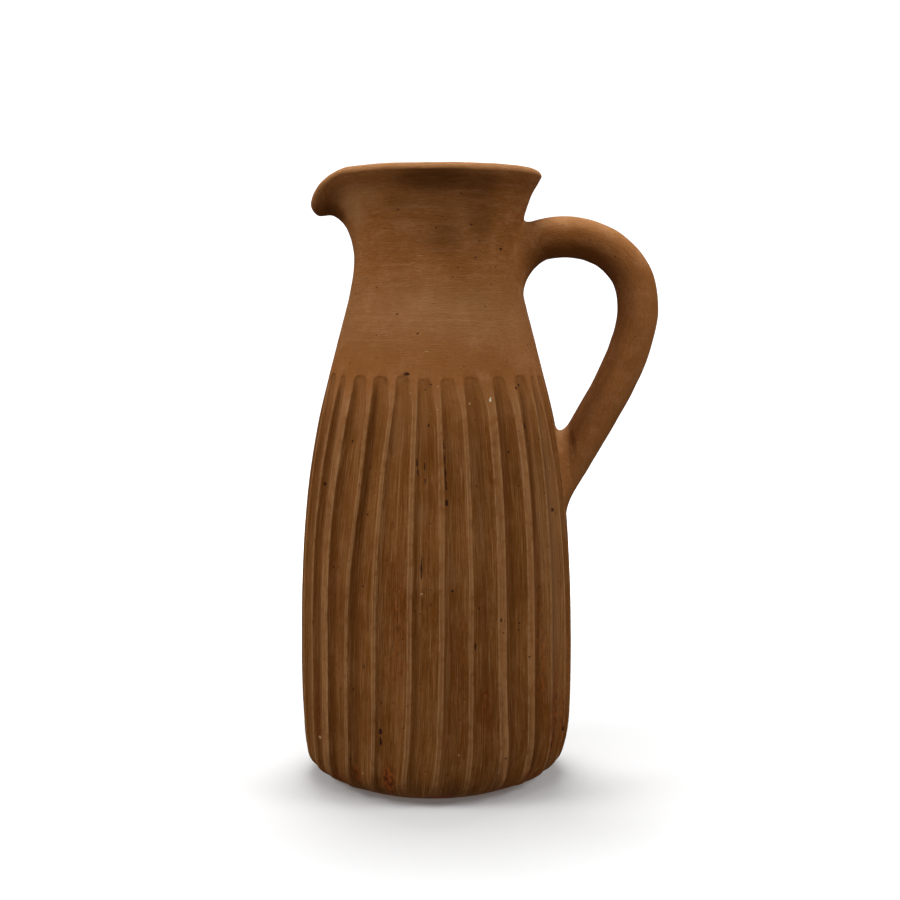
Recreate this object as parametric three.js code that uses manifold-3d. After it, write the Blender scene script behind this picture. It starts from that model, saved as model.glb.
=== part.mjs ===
// Fluted terracotta pitcher: a wheel-thrown vessel with carved vertical flutes, a plain
// neck with a pulled spout, and a rolled clay handle luted on at two places.
// Millimetres, +Z up. The origin is the centre of the flat underside, the spout points
// to -X and the handle to +X.
import * as THREE from "three";
import { mergeVertices } from "three/addons/utils/BufferGeometryUtils.js";
import Module from "manifold-3d";

const wasm = await Module();
wasm.setup();

// ---- Driving dimensions ----
const SHOULDER_Z = 190; // the fluted wall ends here and the plain neck begins
const SHOULDER_R = 48.5;
const WALL = 6; // thickness of the thrown wall
const FLOOR_THICK = 8;
const FLOOR_R = 36; // the floor is a disc set inside the foot of the wall
const FLOOR_BEVEL = 1;
const GAP = 0.3; // room between clay pieces that follow each other's curved faces
const RIM_R = 47.8;
const RIM_Z = 279; // crest of the rim, the highest point

const FLUTES = 28;
const FLUTE_DEPTH = 1.7;
const FLUTE_TOP_Z = 187.5;
const FLUTE_BOTTOM_Z = 3;
const FLUTE_RUN_OUT = 7; // height over which the gouge enters and leaves the wall
const SEGMENTS_PER_FLUTE = 4;
// The flutes are carved by eye: how far each arris stands off its even place, in degrees,
// counted from the front (-Y) towards the handle and on round the back.
const ARRIS_DRIFT = [
  2.5, 1.9, 2.3, 5.4, 4.9, 4.2, 3.1, 1.6, 0.4, 1, 2.4, 3, 1.7, 0.2,
  -0.9, 0.3, 1.6, 2.5, 1.2, -0.3, -1.2, 0.1, 1.4, 1.3, 0.4, 0.1, -0.8, 2.4,
];

const SPOUT_HALF_ANGLE = 35; // degrees of rim, each side of the spout, that were pulled
const SPOUT_CREASE = 4; // degrees over which the bottom of the channel is rounded

const HANDLE_WIDTH = 21; // across, along Y
const HANDLE_THICK = 18.6; // in the plane of the loop

const FLARE_SEAT_R = 16; // the upper joint's clay spreads this far on the neck
const FLARE_ROLL_R = 10.6; // and ends at this radius on the handle's roll
const FLARE_REACH = 9;
const FLARE_BURIED = 6; // how far its blank starts inside the neck, to be cut away
const FLARE_CENTRE = [38.5, 0, 241.5];
const FLARE_RISE = 24; // degrees that its axis climbs from +X
const FLARE_FLATTEN = [1, 0.97, 0.92];

const PAD_RADII = [7.4, 14.2, 18]; // half sizes of the lower joint's clay
const PAD_CENTRE = [58.6, 0, 144.5];
const PAD_LEAN = 9; // degrees that its top leans in, as the belly does

// ---- Fineness ----
const WALL_OUTER_STEPS = 14; // steps up the outside of the fluted wall
const WALL_INNER_STEPS = 9;
const NECK_STEPS = 24;
const NECK_CORE_STEPS = 8;
const NECK_SEGMENTS = 80; // segments round the axis
const ROUND_SEGMENTS = 48;
const HANDLE_STEPS = 26; // steps along the loop
const HANDLE_CURVE_SEGMENTS = 8;
const JOINT_SEGMENTS = 28;
const JOINT_STEPS = 18;
const FLARE_STEPS = 6;

const CLAY = new THREE.MeshStandardMaterial({ color: 0x8a5c3c, roughness: 0.9, metalness: 0 });

// ---- Profiles: radius and height ----
const points = (list) => list.map(([r, z]) => new THREE.Vector2(r, z));
const smooth = (list, divisions) => new THREE.SplineCurve(points(list)).getPoints(divisions);

// Outer face of the wall over the arrises, from the foot to the shoulder.
const wallOuter = smooth(
  [[43, 0], [56.6, 7], [61.4, 18], [63.1, 46], [62.5, 92], [59.9, 130], [54.9, 163.5],
    [SHOULDER_R, SHOULDER_Z]],
  WALL_OUTER_STEPS,
);

// Inner face of the wall: the seat of the floor disc, then the hollow belly.
const wallInner = [
  ...points([[FLOOR_R + GAP, 0], [FLOOR_R + GAP, FLOOR_THICK]]),
  ...smooth(
    [[47, 11], [54.6, 22], [57.1, 46], [56.6, 92], [54, 130], [49, 163.5], [SHOULDER_R - WALL, SHOULDER_Z]],
    WALL_INNER_STEPS,
  ),
];

// The neck's section, up the outside, over the rim and down the inside. One section is of
// the round rim and the other runs along the middle of the spout, point for point.
const NECK_OUTER_POINTS = 6;
const neckRound = [
  [SHOULDER_R, SHOULDER_Z], [44, 208], [40, 223.5], [37.7, 240], [39, 254], [42.6, 266.5],
  [46.9, 274.4], [RIM_R, 276.8], [45.9, RIM_Z], [43.3, 277.4],
  [39.2, 268.5], [35.2, 258], [32.8, 246], [33.2, 232], [37, 212], [SHOULDER_R - WALL, SHOULDER_Z],
];
const neckSpout = [
  [SHOULDER_R, SHOULDER_Z], [44, 208], [40, 223.5], [37.8, 240], [40.6, 252.5], [46.6, 258.8],
  [53.8, 259], [57, 263.2], [55.2, 267.2], [51.4, 266.2],
  [46.2, 263.4], [39.2, 258], [33.8, 247], [33.2, 232], [37, 212], [SHOULDER_R - WALL, SHOULDER_Z],
];

// The loop of the handle, from inside the neck wall, over the top and down to the belly.
const handlePath = new THREE.CatmullRomCurve3(
  [[35.5, 243], [49, 248.4], [64, 249.2], [79, 243.8], [89.6, 232], [92.6, 216], [88.8, 198],
    [80.2, 179], [70, 160.5], [59.8, 143.5], [50.5, 128.5]].map(([x, z]) => new THREE.Vector3(x, 0, z)),
);

// ---- Solids ----
const TAU = Math.PI * 2;
const degrees = (radians) => (radians * 180) / Math.PI;

// A closed geometry as a solid that can be joined and cut.
function solid(geometry) {
  const bare = geometry.clone();
  bare.deleteAttribute("normal");
  bare.deleteAttribute("uv");
  const merged = mergeVertices(bare, 1e-3);
  return new wasm.Manifold(
    new wasm.Mesh({
      numProp: 3,
      vertProperties: merged.getAttribute("position").array,
      triVerts: new Uint32Array(merged.index.array),
    }),
  );
}

// A solid as a geometry again.
function geometryOf(made) {
  const mesh = made.getMesh();
  const geometry = new THREE.BufferGeometry();
  geometry.setAttribute("position", new THREE.BufferAttribute(mesh.vertProperties, 3));
  geometry.setIndex(new THREE.BufferAttribute(mesh.triVerts, 1));
  geometry.computeVertexNormals();
  return geometry;
}

// The largest of the bodies that a cut leaves.
const largestBody = (made) =>
  made.decompose().reduce((best, body) => (body.volume() > best.volume() ? body : best));

// A profile turned about the Z axis. place(j, angle) gives the radius, height and angle of
// profile point j at an angle from the front (-Y) towards the handle (+X).
function turned(profile, segments, place) {
  const geometry = new THREE.LatheGeometry(profile, segments);
  const position = geometry.getAttribute("position");
  for (let i = 0; i <= segments; i += 1) {
    const even = ((i % segments) * TAU) / segments;
    profile.forEach((_, j) => {
      const [r, z, angle] = place ? place(j, even) : [profile[j].x, profile[j].y, even];
      position.setXYZ(i * profile.length + j, r * Math.sin(angle), -r * Math.cos(angle), z);
    });
  }
  return geometry;
}

// How deep the gouge is at a height: nothing above the top of the flutes, a rounded entry,
// full depth down the belly and a rounded way out above the foot.
function gougeDepth(z) {
  const room = Math.min(FLUTE_TOP_Z - z, z - FLUTE_BOTTOM_Z) / FLUTE_RUN_OUT;
  const share = THREE.MathUtils.clamp(room, 0, 1);
  return FLUTE_DEPTH * Math.sqrt(1 - (1 - share) ** 2);
}

// The angle of arris k, in radians.
const arrisAngle = (k) => THREE.MathUtils.degToRad((k * 360) / FLUTES + ARRIS_DRIFT[k % FLUTES]);

// A solid of revolution with the flutes carved into its outside.
function flutedCore(profile, grow) {
  const place = (j, even) => {
    const along = (even / TAU) * FLUTES;
    const k = Math.floor(along + 1e-6);
    const across = along - k;
    const angle = THREE.MathUtils.lerp(arrisAngle(k), arrisAngle(k + 1), across);
    const scoop = 4 * across * (1 - across);
    const { x: r, y: z } = profile[j];
    return [r > 0 ? r + grow - gougeDepth(z) * scoop : 0, z, angle];
  };
  return solid(turned(profile, FLUTES * SEGMENTS_PER_FLUTE, place));
}

const onAxis = (z) => new THREE.Vector2(0, z);

function flutedBody() {
  const outside = flutedCore([onAxis(0), ...wallOuter, onAxis(SHOULDER_Z)], 0);
  const below = wallInner[0].clone().setY(-1);
  const above = wallInner.at(-1).clone().setY(SHOULDER_Z + 1);
  const hollow = [onAxis(-1), below, ...wallInner.slice(1), above, onAxis(SHOULDER_Z + 1)];
  return outside.subtract(solid(turned(hollow, ROUND_SEGMENTS)));
}

function floorDisc() {
  const profile = points([
    [0, 0], [FLOOR_R - FLOOR_BEVEL, 0], [FLOOR_R, FLOOR_BEVEL], [FLOOR_R, FLOOR_THICK], [0, FLOOR_THICK],
  ]);
  return solid(turned(profile, ROUND_SEGMENTS));
}

// The shares of the spout's reach and of its droop at an angle from its middle: the reach
// spreads widely along the rim, and the droop is a narrow channel.
function spoutShares(fromMiddle) {
  const reachShare = Math.min(fromMiddle / SPOUT_HALF_ANGLE, 1);
  const droopAngle = Math.hypot(fromMiddle, SPOUT_CREASE) - SPOUT_CREASE;
  const droopShare = Math.min(droopAngle / (SPOUT_HALF_ANGLE - SPOUT_CREASE), 1);
  return { reach: (1 + Math.cos(Math.PI * reachShare)) / 2, droop: (1 - droopShare) ** 2 };
}

function neckWithSpout() {
  const round = smooth(neckRound, NECK_STEPS);
  const spout = smooth(neckSpout, NECK_STEPS);
  const closed = [...round, round[0].clone()];
  const place = (j, angle) => {
    const { reach, droop } = spoutShares(Math.abs(degrees(angle) - 270));
    const a = round[j % round.length];
    const b = spout[j % spout.length];
    return [THREE.MathUtils.lerp(a.x, b.x, reach), THREE.MathUtils.lerp(a.y, b.y, droop), angle];
  };
  return solid(turned(closed, NECK_SEGMENTS, place));
}

// The whole outside of the vessel as one core, for cutting what is pressed onto it.
function vesselCore(grow) {
  const neckOuter = smooth(neckRound.slice(0, NECK_OUTER_POINTS), NECK_CORE_STEPS).slice(1);
  return flutedCore([onAxis(0), ...wallOuter, ...neckOuter, onAxis(neckOuter.at(-1).y)], grow);
}

function handleRoll(grow) {
  const section = new THREE.Shape();
  section.absellipse(0, 0, HANDLE_WIDTH / 2 + grow, HANDLE_THICK / 2 + grow, 0, TAU);
  const roll = new THREE.ExtrudeGeometry(section, {
    steps: HANDLE_STEPS,
    curveSegments: HANDLE_CURVE_SEGMENTS,
    extrudePath: handlePath,
    bevelEnabled: false,
  });
  return solid(roll);
}

const core = vesselCore(GAP);
const rollAndGap = handleRoll(GAP);

// Clay pressed round the handle's upper end: a flare, concave all round, from a wide seat on
// the neck to the width of the roll.
function upperJointClay() {
  const arc = Array.from({ length: FLARE_STEPS + 1 }, (_, i) => {
    const share = i / FLARE_STEPS;
    const drop = 1 - Math.sqrt(1 - (1 - share) ** 2);
    return [FLARE_ROLL_R + (FLARE_SEAT_R - FLARE_ROLL_R) * drop, FLARE_REACH * share];
  });
  const profile = points([[0, -FLARE_BURIED], [FLARE_SEAT_R, -FLARE_BURIED], ...arc, [0, FLARE_REACH]]);
  const flare = new THREE.LatheGeometry(profile, JOINT_SEGMENTS);
  flare.rotateZ(-Math.PI / 2);
  flare.scale(...FLARE_FLATTEN);
  flare.rotateY(-THREE.MathUtils.degToRad(FLARE_RISE));
  flare.translate(...FLARE_CENTRE);
  return largestBody(solid(flare).subtract(rollAndGap).subtract(core));
}

// Clay smeared round the handle's lower end: a low pad that fills the sharp corner above the
// roll and runs out on the belly below it.
function lowerJointClay() {
  const pad = new THREE.SphereGeometry(1, JOINT_SEGMENTS, JOINT_STEPS);
  pad.scale(...PAD_RADII);
  pad.rotateY(-THREE.MathUtils.degToRad(PAD_LEAN));
  pad.translate(...PAD_CENTRE);
  return largestBody(solid(pad).subtract(rollAndGap).subtract(core));
}

// ---- The pitcher ----
const pitcher = new THREE.Group();

function add(name, made) {
  const mesh = new THREE.Mesh(geometryOf(made), CLAY.clone());
  mesh.name = name;
  pitcher.add(mesh);
}

add("floor_disc", floorDisc());
add("fluted_body", flutedBody());
add("neck_with_spout", neckWithSpout());
add("handle", largestBody(handleRoll(0).subtract(core)));
add("upper_joint_clay", upperJointClay());
add("lower_joint_clay", lowerJointClay());

export default pitcher;
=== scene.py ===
"""A fluted terracotta pitcher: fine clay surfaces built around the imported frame.

Lengths are millimetres until a mesh is made. The vessel stands on the origin with its axis
along Z, the spout towards -X and the handle towards +X. Angles round the axis are degrees
from the front (-Y) towards the handle.
"""

import math

import bpy
import numpy as np
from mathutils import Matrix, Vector


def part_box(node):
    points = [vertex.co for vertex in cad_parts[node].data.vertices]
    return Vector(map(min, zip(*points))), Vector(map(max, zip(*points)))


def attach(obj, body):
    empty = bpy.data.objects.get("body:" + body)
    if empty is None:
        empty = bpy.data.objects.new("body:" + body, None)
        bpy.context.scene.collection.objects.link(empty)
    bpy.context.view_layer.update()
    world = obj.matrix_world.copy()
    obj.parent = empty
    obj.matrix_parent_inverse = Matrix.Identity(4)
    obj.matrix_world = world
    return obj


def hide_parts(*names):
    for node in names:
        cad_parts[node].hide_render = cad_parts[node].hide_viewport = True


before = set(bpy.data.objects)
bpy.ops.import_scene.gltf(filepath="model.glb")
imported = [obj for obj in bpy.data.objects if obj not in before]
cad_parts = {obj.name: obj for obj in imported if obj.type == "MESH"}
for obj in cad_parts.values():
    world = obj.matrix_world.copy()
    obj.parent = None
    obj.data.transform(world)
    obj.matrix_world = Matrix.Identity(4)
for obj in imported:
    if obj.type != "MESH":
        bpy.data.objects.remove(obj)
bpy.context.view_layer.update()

MM = 0.001
SEED = 11

# ---- Driving dimensions ----
SHOULDER_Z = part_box("fluted_body")[1].z / MM
RIM_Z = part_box("neck_with_spout")[1].z / MM
FLOOR_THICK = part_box("floor_disc")[1].z / MM
SHOULDER_R = 48.5
WALL = 6
FLOOR_R = 36.3

# The outside of the vessel up to the neck, radius and height, over the arrises.
BODY_OUTER = [
    (43, 0), (56.6, 7), (61.4, 18), (63.1, 46), (62.5, 92), (59.9, 130), (54.9, 163.5),
    (SHOULDER_R, SHOULDER_Z),
]
BODY_INNER = [
    (47, 11), (54.6, 22), (57.1, 46), (56.6, 92), (54, 130), (49, 163.5),
    (SHOULDER_R - WALL, SHOULDER_Z),
]
# The neck's section, up the outside, over the rim and down the inside: at the round rim,
# and along the middle of the spout, point for point.
NECK_ROUND = [
    (SHOULDER_R, SHOULDER_Z), (44, 208), (40, 223.5), (37.7, 240), (39, 254), (42.6, 266.5),
    (46.9, 274.4), (47.8, 276.8), (45.9, RIM_Z), (43.3, 277.4),
    (39.2, 268.5), (35.2, 258), (32.8, 246), (33.2, 232), (37, 212),
    (SHOULDER_R - WALL, SHOULDER_Z),
]
NECK_SPOUT = [
    (SHOULDER_R, SHOULDER_Z), (44, 208), (40, 223.5), (37.8, 240), (40.6, 252.5), (46.6, 258.8),
    (53.8, 259), (57, 263.2), (55.2, 267.2), (51.4, 266.2),
    (46.2, 263.4), (39.2, 258), (33.8, 247), (33.2, 232), (37, 212),
    (SHOULDER_R - WALL, SHOULDER_Z),
]
SPOUT_HALF_ANGLE = 35
SPOUT_CREASE = 4
# The foot stands this far off the axis, and the lean ends at this height.
FOOT_LEAN = 1.6
FOOT_LEAN_TOP_Z = 30
# Marks on the surface are laid out as if the wall had this radius.
GRAIN_R = 60
SHARP_EDGE = 70

HANDLE_WIDTH = 21
HANDLE_THICK = 18.6
HANDLE_PATH = [
    (35.5, 243), (49, 248.4), (64, 249.2), (79, 243.8), (89.6, 232), (92.6, 216), (88.8, 198),
    (80.2, 179), (70, 160.5), (59.8, 143.5), (50.5, 128.5),
]

# ---- Flutes ----
FLUTES = 28
FLUTE_DEPTH = 1.75
FLUTE_TOP_Z = 187.3
FLUTE_BOTTOM_Z = 3.2
# Heights at which an arris is placed, evenly spaced.
ARRIS_Z = (5, 50, 95, 140, 185)
# The right edge of the arris left of each channel, at those heights, on the side that the
# carver worked most irregularly. The other arrises drift about their even places.
ARRIS_BY_HAND = {
    23: (-64, -62.6, -62.9, -62.2, -60.4),
    24: (-51.5, -50.4, -50.5, -49.4, -47),
    25: (-39.4, -38.8, -38, -34.4, -33.6),
    26: (-26.6, -25.2, -25, -23.4, -20.6),
    27: (-12.2, -10.2, -10, -9.6, -9.4),
    28: (1, 2.4, 2.9, 3, 2),
    29: (14.4, 14.2, 14.5, 14.3, 13.6),
    30: (31.5, 28.9, 28.9, 29, 29.2),
    31: (44.5, 43.2, 43.4, 43.8, 43.6),
    32: (57, 55.4, 55.3, 55.6, 57.2),
    33: (70, 69, 69, 67.6, 65.5),
}
# Width of the flat land left of an arris's right edge. The rest are 0.5 to 1.8.
LAND_BY_HAND = {
    23: 1.2, 24: 4.2, 25: 1.2, 26: 1.2, 27: 1.6, 28: 1.8, 29: 1.4, 30: 3.8, 31: 3.6, 32: 0.8, 33: 1.2,
}
# Where across its width a channel is deepest, how deep it is as a share of the usual, and
# the painted shade on its steep side, where the cut is rougher: where it starts and ends, and
# how strong it is. The last value is how dark the painted shade at the gouge's first press is.
CHANNEL_BY_HAND = {
    23: (0.34, 1.15, 0.02, 0.42, 0.9, 0.5), 24: (0.24, 1.2, 0.0, 0.3, 1.0, 0.8),
    25: (0.28, 1.3, 0.06, 0.34, 1.0, 1.0), 26: (0.2, 0.8, 0.0, 0.2, 0.45, 1.0),
    27: (0.18, 0.8, 0.0, 0.2, 0.5, 0.8), 28: (0.16, 0.85, 0.02, 0.16, 0.7, 0.3),
    29: (0.5, 0.85, 0.06, 0.6, 0.45, 0.5), 30: (0.42, 1.1, 0.0, 0.46, 0.8, 0.5),
    31: (0.4, 1.4, 0.2, 0.52, 1.0, 0.7), 32: (0.45, 1.15, 0.03, 0.52, 0.8, 0.5),
    33: (0.25, 1.1, 0.0, 0.26, 0.8, 0.5),
}


# ---- Curves and noise ----
def spline(points, t):
    """The Catmull-Rom curve through points, at t counted in spans."""
    points = np.asarray(points, float)
    last = len(points) - 1
    i = np.clip(np.floor(t).astype(int), 0, last - 1)
    w = (t - i)[..., None]
    before, start, end, after = (
        points[np.clip(i + step, 0, last)] for step in (-1, 0, 1, 2)
    )
    leave, arrive = (end - before) / 2, (after - start) / 2
    return (
        (2 * start - 2 * end + leave + arrive) * w**3
        + (3 * end - 3 * start - 2 * leave - arrive) * w**2
        + leave * w
        + start
    )


def smoothstep(low, high, x):
    t = np.clip((np.asarray(x, float) - low) / (high - low), 0, 1)
    return t * t * (3 - 2 * t)


def bump_at(x, centre, half):
    """1 at centre, falling smoothly to 0 at half away from it."""
    return 1 - smoothstep(0, half, np.abs(x - centre))


def lattice(i, j, k, seed):
    """A fixed random number from -1 to 1 for each corner of a grid."""
    h = (i * 374761393 + j * 668265263 + k * 974634777 + seed * 362437) & 0xFFFFFFFF
    h = ((h ^ (h >> 13)) * 1274126177) & 0xFFFFFFFF
    return (h ^ (h >> 16)) / 0x7FFFFFFF - 1


def noise(points, size, seed):
    """Smooth noise from -1 to 1 at points, with lumps of a size given in the points' unit."""
    p = np.asarray(points, float) / size
    cell = np.floor(p).astype(np.int64)
    f = p - cell
    f = f * f * (3 - 2 * f)
    total = 0
    for dx in (0, 1):
        for dy in (0, 1):
            for dz in (0, 1):
                weight = (
                    (f[..., 0] if dx else 1 - f[..., 0])
                    * (f[..., 1] if dy else 1 - f[..., 1])
                    * (f[..., 2] if dz else 1 - f[..., 2])
                )
                corner = lattice(cell[..., 0] + dx, cell[..., 1] + dy, cell[..., 2] + dz, seed)
                total = total + weight * corner
    return total


def around(angle, radius, z):
    """Points at angles, in degrees, round the axis."""
    a = np.radians(angle)
    x, y, z = np.broadcast_arrays(radius * np.sin(a), -radius * np.cos(a), z)
    return np.stack([x, y, z], -1)


# ---- The vessel's outside ----
OUTLINE = spline(
    BODY_OUTER + NECK_ROUND[1:6], np.linspace(0, len(BODY_OUTER) + 4, 1600)
)


def outline_radius(z):
    return np.interp(z, OUTLINE[:, 1], OUTLINE[:, 0])


def hand_wobble(points):
    """How far the hand-thrown wall stands off a true round, outwards."""
    slow = noise(points, 55, 1) * 0.3
    small = noise(points, 17, 2) * 0.1
    return slow + small


def arris_angles(z):
    """The right edge of every arris at heights z: an array (FLUTES + 1, len(z))."""
    t = np.clip((z - ARRIS_Z[0]) / (ARRIS_Z[1] - ARRIS_Z[0]), 0, len(ARRIS_Z) - 1)
    rows = []
    for k in range(FLUTES):
        even = k * 360 / FLUTES + 1.5
        drift = np.cumsum(rng_of(k).normal(0, 0.45, len(ARRIS_Z)))
        row = even + drift - drift.mean() + rng_of(k + 100).normal(0, 0.9)
        by_hand = ARRIS_BY_HAND.get(k, ARRIS_BY_HAND.get(k + FLUTES))
        if by_hand:
            row = np.array(by_hand) + (360 if k >= 23 else 0)
        rows.append(spline(row[:, None], t)[..., 0])
    rows.append(rows[0] + 360)
    return np.array(rows)


def rng_of(k):
    return np.random.default_rng(SEED * 1000 + k)


def hand_value(table, k, low, high):
    """A channel's value from its table, or a fixed random one."""
    key = k if k in table else k + FLUTES
    return table.get(key, rng_of(k + 200).uniform(low, high))


LANDS = np.array([hand_value(LAND_BY_HAND, k % FLUTES, 0.5, 1.8) for k in range(FLUTES + 1)])
CHANNELS = np.array(
    [
        hand_value(CHANNEL_BY_HAND, k, (0.2, 0.85, 0, 0.2, 0.4, 0.3), (0.5, 1.3, 0.1, 0.5, 0.9, 1))
        for k in range(FLUTES)
    ]
)
DEEP_AT, DEEP_SHARE, SHADE_FROM, SHADE_TO, SHADE_STRENGTH, PRESS_SHADE = CHANNELS.T
TOPS = np.array([FLUTE_TOP_Z + rng_of(k + 300).uniform(-0.9, 0.9) for k in range(FLUTES)])


def entry(z, top):
    """The gouge's depth below its pressed-in start, as a share of its full depth."""
    down = top - z
    pressed = 0.2 * smoothstep(0, 0.9, down)
    return pressed + 0.8 * smoothstep(-4, 30, down) * smoothstep(0, 6, down)


def way_out(z):
    """The gouge's depth above the foot, as a share of its full depth."""
    return smoothstep(FLUTE_BOTTOM_Z - 1.5, FLUTE_BOTTOM_Z + 9, z)


def channel_span(z):
    """Left and right edges of the channels at heights z: two arrays (FLUTES, len(z))."""
    arris = arris_angles(z)
    per_mm = np.degrees(1 / outline_radius(z))
    left = arris[:-1]
    full = arris[1:] - LANDS[1:, None] * per_mm - left
    opened = np.array([0.68 + 0.32 * smoothstep(-2, 16, top - z) for top in TOPS])
    return left, left + full * opened


def scoop(u, deep_at):
    """A channel's section: 0 at its edges u = 0 and 1, and 1 where it is deepest."""
    fall = np.where(u < deep_at, (deep_at - u) / deep_at, (u - deep_at) / (1 - deep_at))
    return np.clip(1 - fall**2, 0, 1)


def vessel_radius(angle, z):
    """Radius of the outside, flutes included, at angles and heights: two equal arrays."""
    z = np.asarray(z, float)
    left, right = channel_span(z)
    cut = np.zeros_like(z)
    for k in range(FLUTES):
        turn = (angle - left[k] + 180) % 360 - 180
        u = turn / (right[k] - left[k])
        depth = FLUTE_DEPTH * DEEP_SHARE[k] * entry(z, TOPS[k]) * way_out(z)
        cut = np.maximum(cut, depth * scoop(u, DEEP_AT[k]) * ((u > 0) & (u < 1)))
    return outline_radius(z) - cut + hand_wobble(around(angle, outline_radius(z), z))


# ---- Meshes ----
def make_object(name, verts, faces, layers, sharp=SHARP_EDGE):
    """A mesh object from points in millimetres, smooth but for edges over sharp degrees."""
    mesh = bpy.data.meshes.new(name)
    mesh.from_pydata((np.asarray(verts) * MM).tolist(), [], faces)
    for layer, values in layers.items():
        values = np.asarray(values, np.float32)
        if values.ndim == 2:
            made = mesh.attributes.new(layer, "FLOAT_VECTOR", "POINT")
            made.data.foreach_set("vector", values.ravel())
        else:
            made = mesh.attributes.new(layer, "FLOAT", "POINT")
            made.data.foreach_set("value", values)
    mesh.update()
    mesh.polygons.foreach_set("use_smooth", [True] * len(mesh.polygons))
    mesh.set_sharp_from_angle(angle=math.radians(sharp))
    made_object = bpy.data.objects.new(name, mesh)
    bpy.context.scene.collection.objects.link(made_object)
    return made_object


def ring_faces(rows, columns, loop):
    """Quads of a grid whose columns close on themselves, and its rows too if loop is true."""
    i = np.arange(rows if loop else rows - 1)[:, None]
    j = np.arange(columns)[None, :]
    here, up = i * columns, ((i + 1) % rows) * columns
    beside = (j + 1) % columns
    quads = np.stack(
        np.broadcast_arrays(here + j, here + beside, up + beside, up + j), -1
    )
    return quads.reshape(-1, 4).tolist()


def ring_solid(name, grid, layers, loop=True, sharp=SHARP_EDGE):
    """A solid from a grid of points (rows, columns, 3): a closed loop of rows, or a tube
    whose two open ends are closed with a fan."""
    rows, columns = grid.shape[:2]
    verts = grid.reshape(-1, 3)
    faces = ring_faces(rows, columns, loop)
    layers = {n: v.reshape(rows * columns, *v.shape[2:]) for n, v in layers.items()}
    if not loop:
        first, last = len(verts), len(verts) + 1
        verts = np.vstack([verts, grid[0].mean(0), grid[-1].mean(0)])
        layers = {
            n: np.concatenate([v, v[:1], v[-1:]]) for n, v in layers.items()
        }
        end = (rows - 1) * columns
        for j in range(columns):
            beside = (j + 1) % columns
            faces.append((first, beside, j))
            faces.append((last, end + j, end + beside))
    return make_object(name, verts, faces, layers, sharp)


# ---- Fluted body ----
CHANNEL_COLUMNS = np.array([0, 0.03, 0.09, 0.18, 0.29, 0.41, 0.54, 0.68, 0.82, 0.95, 1])
LAND_COLUMNS = np.array([0.14, 0.5, 0.86])
STAINS = {
    # angle, height, half width, half height, strength
    "rust": [
        (20.2, 51.5, 1.6, 2.2, 0.7), (20.5, 42, 2.6, 12, 0.25), (57, 36, 3, 14, 0.75),
        (60, 20, 4, 7, 1.0), (68, 33, 3, 16, 0.5), (71, 22, 4, 9, 0.7), (46.5, 11, 5, 3.5, 0.6),
        (-58, 34, 5, 12, 0.3), (52, 8, 8, 2.5, 0.5), (-36, 12, 3, 6, 0.6), (4, 4, 6, 3, 0.6),
        (-20, 12, 4, 9, 0.8), (-15, 80, 5, 28, 0.25), (-21, 9, 3, 5, 0.5), (3, 3, 9, 2.2, 0.9),
        (-48, 8, 7, 3, 0.6), (30, 5, 9, 2.5, 0.5),
        (62, 40, 2, 24, 0.8), (10, 60, 3, 30, 0.2), (70, 70, 1.2, 60, 0.4), (51, 60, 0.8, 40, 0.45),
        (47.5, 70, 0.9, 55, 0.35), (75, 60, 1.2, 60, 0.4), (66, 120, 1, 50, 0.3),
    ],
    # Darker patches: on the neck, painted shade under the rim, the spout's lip and the handle's upper
    # end; near the foot, painted shade with dark clay at the channels' ends.
    "scorch_and_shade": [
        (0, 272, 28, 6.5, 1.0), (25, 269, 16, 8, 0.8), (30, 255, 13, 13, 0.5), (6, 247, 15, 9, 0.45),
        (-25, 262, 10, 5, 0.3), (88, 232, 14, 12, 0.35), (-83, 260, 10, 5, 0.9), (8, 8, 5, 7, 0.7),
        (-38, 10, 4, 8, 0.6), (-26, 9, 3, 7, 0.7), (27, 12, 3, 9, 0.5), (47, 14, 4, 8, 0.7),
        (-8, 9, 3, 6, 0.5), (18, 6, 3, 5, 0.5), (-50, 14, 4, 9, 0.5),
    ],
    # Paler patches: dust, and painted light on the spout's outer left side.
    "dust_and_sheen": [
        (-18, 163, 4, 14, 0.5), (-6, 129, 4, 6, 0.5), (16, 150, 3, 16, 0.25), (-55, 162, 3, 22, 0.5),
        (-42, 110, 3, 14, 0.3), (6, 104, 3, 8, 0.4), (-6, 170, 3, 14, 0.35), (18, 118, 3, 16, 0.3),
        (62, 105, 10, 75, 0.6), (52, 120, 3, 45, 0.5), (-62, 262, 15, 11, 1.1), (-45, 266, 12, 7, 0.7),
    ],
}


def stain_layer(name, angle, z):
    total = np.zeros_like(z)
    for centre, height, wide, tall, strength in STAINS[name]:
        across = ((angle - centre + 180) % 360 - 180) * np.radians(GRAIN_R)
        off = np.hypot(across / wide, (z - height) / tall)
        total = np.maximum(total, strength * (1 - smoothstep(0.3, 1.25, off)))
    return total


def body_columns(z):
    """Angles of the body's columns at heights z, with each column's channel number and its
    place across the channel: 0 to 1 in the channel and 1 to 2 over the land beside it."""
    left, right = channel_span(z)
    following = np.vstack([left[1:], left[:1] + 360])
    angles, number, place = [], [], []
    for k in range(FLUTES):
        for u in CHANNEL_COLUMNS:
            angles.append(left[k] + (right[k] - left[k]) * u)
            number.append(k)
            place.append(u)
        for v in LAND_COLUMNS:
            angles.append(right[k] + (following[k] - right[k]) * v)
            number.append(k)
            place.append(1 + v)
    return np.array(angles).T, np.array(number), np.array(place)


def body_heights():
    """Heights of the rows of the outside, close together where the flutes start and end."""
    foot = np.linspace(0, 14, 26)
    wall = np.linspace(14, 180, 128)[1:]
    entries = np.linspace(180, SHOULDER_Z, 34)[1:]
    return np.concatenate([foot, wall, entries])


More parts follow.
